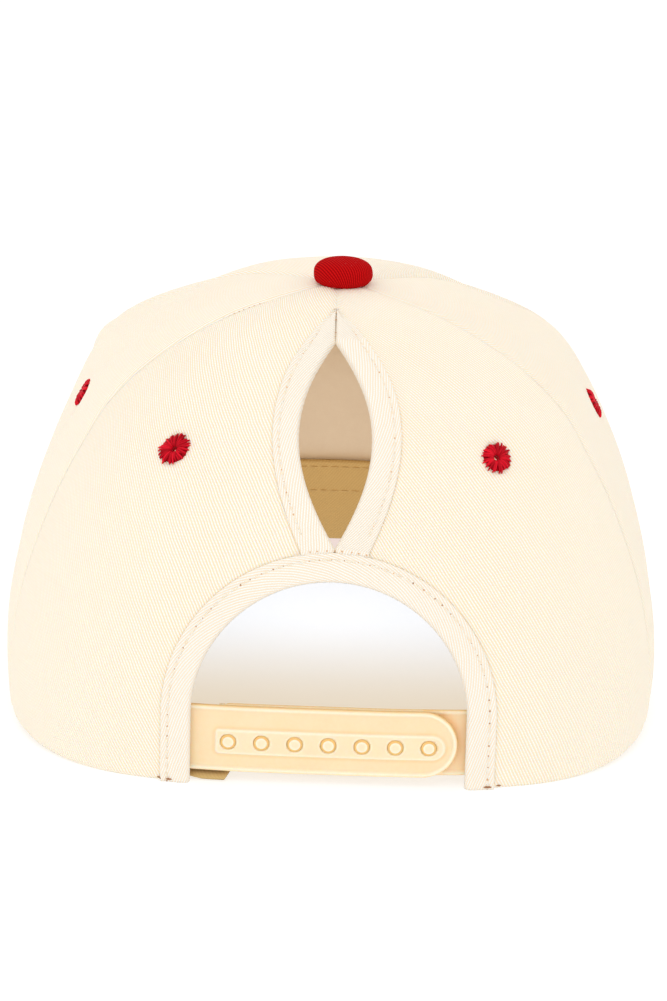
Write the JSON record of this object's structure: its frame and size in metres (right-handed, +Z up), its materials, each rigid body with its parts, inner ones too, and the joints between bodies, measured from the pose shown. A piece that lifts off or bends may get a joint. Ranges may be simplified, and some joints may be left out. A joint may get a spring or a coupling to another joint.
{
  "type": "ponytail baseball cap",
  "caption": "Five-panel twill baseball cap with a curved brim, a bound ponytail slot over a bound arch, and a closed plastic snap strap.",
  "frame": {"origin": "under the middle of the whole cap, on the surface it stands on", "axes": "+Z up through the button, +Y toward the brim, +X to the right of someone who looks at the back"},
  "size_m": [0.1822, 0.2434, 0.1212],
  "materials": {
    "twill": "cream cotton twill, matt, fine diagonal ribs",
    "binding": "cream twill tape, bias cut, matt, lock stitched",
    "red_twill": "red cotton twill, matt",
    "red_thread": "red embroidery thread with a soft sheen",
    "sweatband": "tan cotton band, matt",
    "snap_plastic": "cream moulded plastic, satin"
  },
  "bodies": {
    "root": {"front_panel": "twill", "side_panel_right": "twill", "side_panel_left": "twill", "back_panel_right": "twill", "back_panel_left": "twill", "arch_binding": "binding", "ponytail_binding_right": "binding", "ponytail_binding_left": "binding", "eyelet_back_right": "red_thread", "eyelet_back_left": "red_thread", "eyelet_side_right": "red_thread", "eyelet_side_left": "red_thread", "sweatband": "sweatband", "strap_left": "snap_plastic", "strap_right": "snap_plastic", "brim": "red_twill", "button": "red_twill"}
  },
  "joints": []
}
